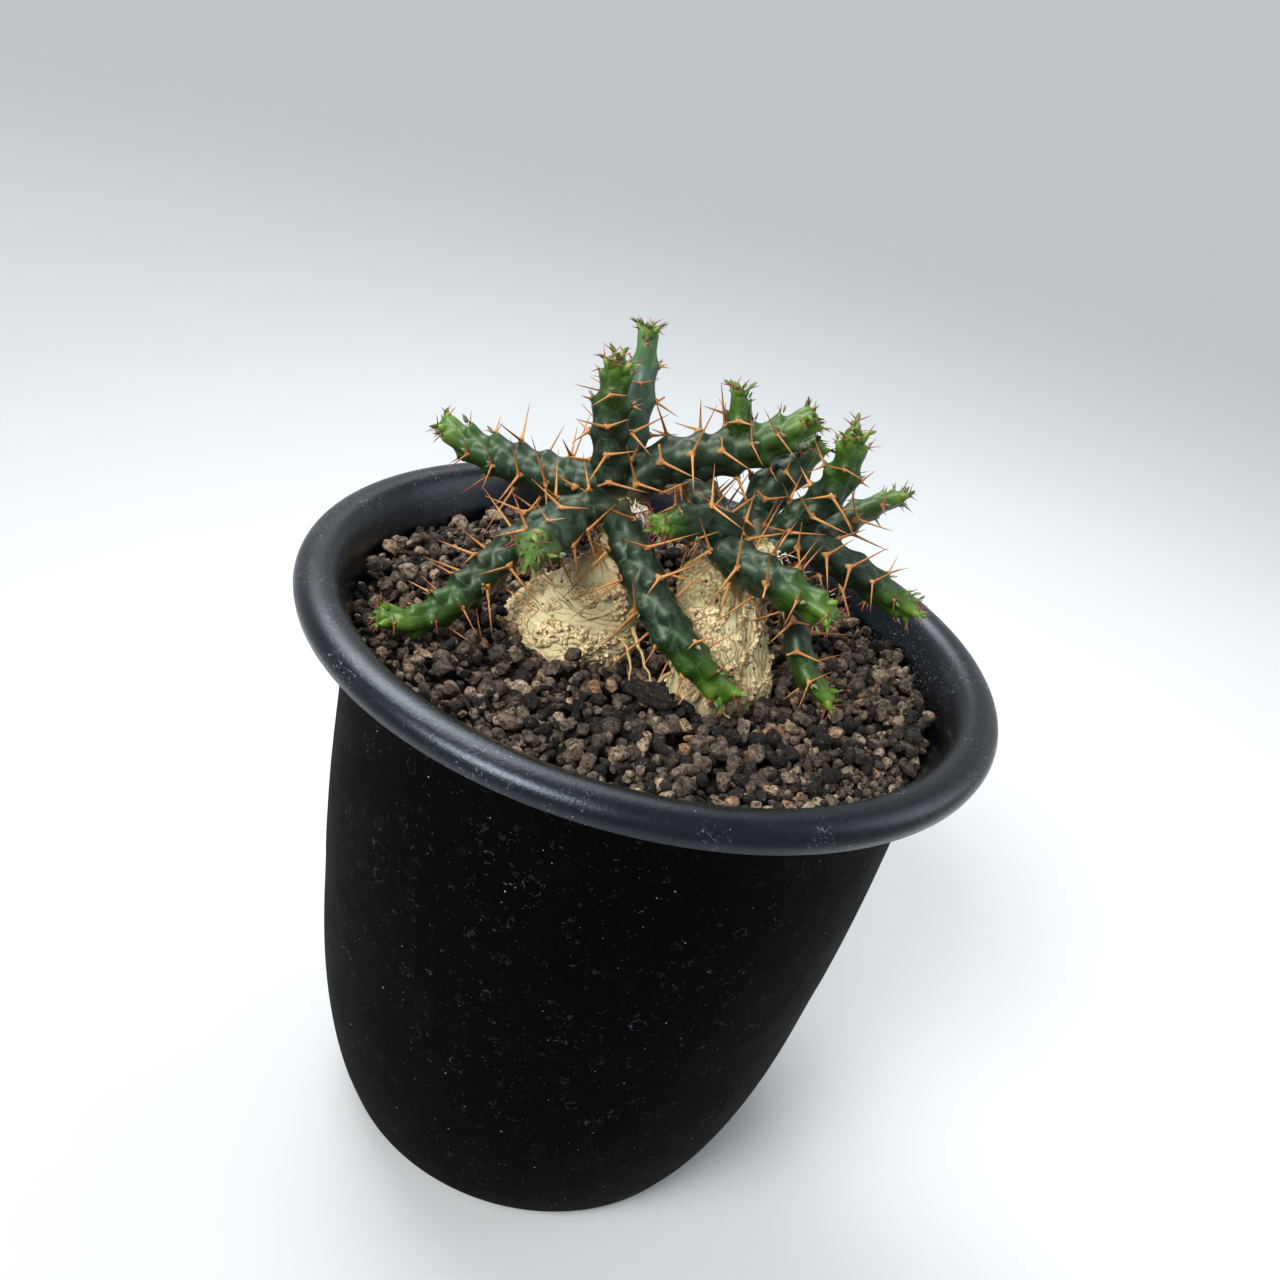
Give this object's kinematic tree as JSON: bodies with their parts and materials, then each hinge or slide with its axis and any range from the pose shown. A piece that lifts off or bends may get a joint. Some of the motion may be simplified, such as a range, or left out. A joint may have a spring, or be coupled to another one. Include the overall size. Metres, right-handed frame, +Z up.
{
  "type": "potted euphorbia stellata",
  "caption": "Small spiny caudex succulent in a bed of gravel in a round black plastic pot with a rolled rim; it stands on the flat ring under its base.",
  "frame": {"origin": "middle of the pot's underside, on the surface it stands on", "axes": "+Z up along the pot's axis; the picture looks from the -Y side, so +X is to its right and +Y is away from it"},
  "size_m": [0.12, 0.12, 0.1537],
  "materials": {
    "pot_plastic": "matte black, dusty, with water spots and fine scratches",
    "gravel_grains": "rough, porous, mixed browns and greys",
    "cork_bark": "cream, flaky cork in ridges with dark flecks",
    "green_skin": "dark blue-green waxy skin with pale veins, yellow-green at the tips, with orange-tan spines"
  },
  "bodies": {
    "root": {"pot": "pot_plastic", "gravel": "gravel_grains", "caudex_left": "cork_bark", "caudex_right": "cork_bark", "stem_left_high": "green_skin", "stem_left_low": "green_skin", "stem_left_front": "green_skin", "stem_upright_front": "green_skin", "stem_upright_back": "green_skin", "stem_right_high": "green_skin", "stem_front": "green_skin", "stem_behind_left": "green_skin", "stem_stub": "green_skin", "stem_back_left": "green_skin", "stem_back_rising": "green_skin", "stem_right_rising": "green_skin", "stem_right_back": "green_skin", "stem_right_low": "green_skin", "stem_right_front": "green_skin", "stem_drooping": "green_skin", "stem_behind_right": "green_skin"}
  },
  "joints": []
}
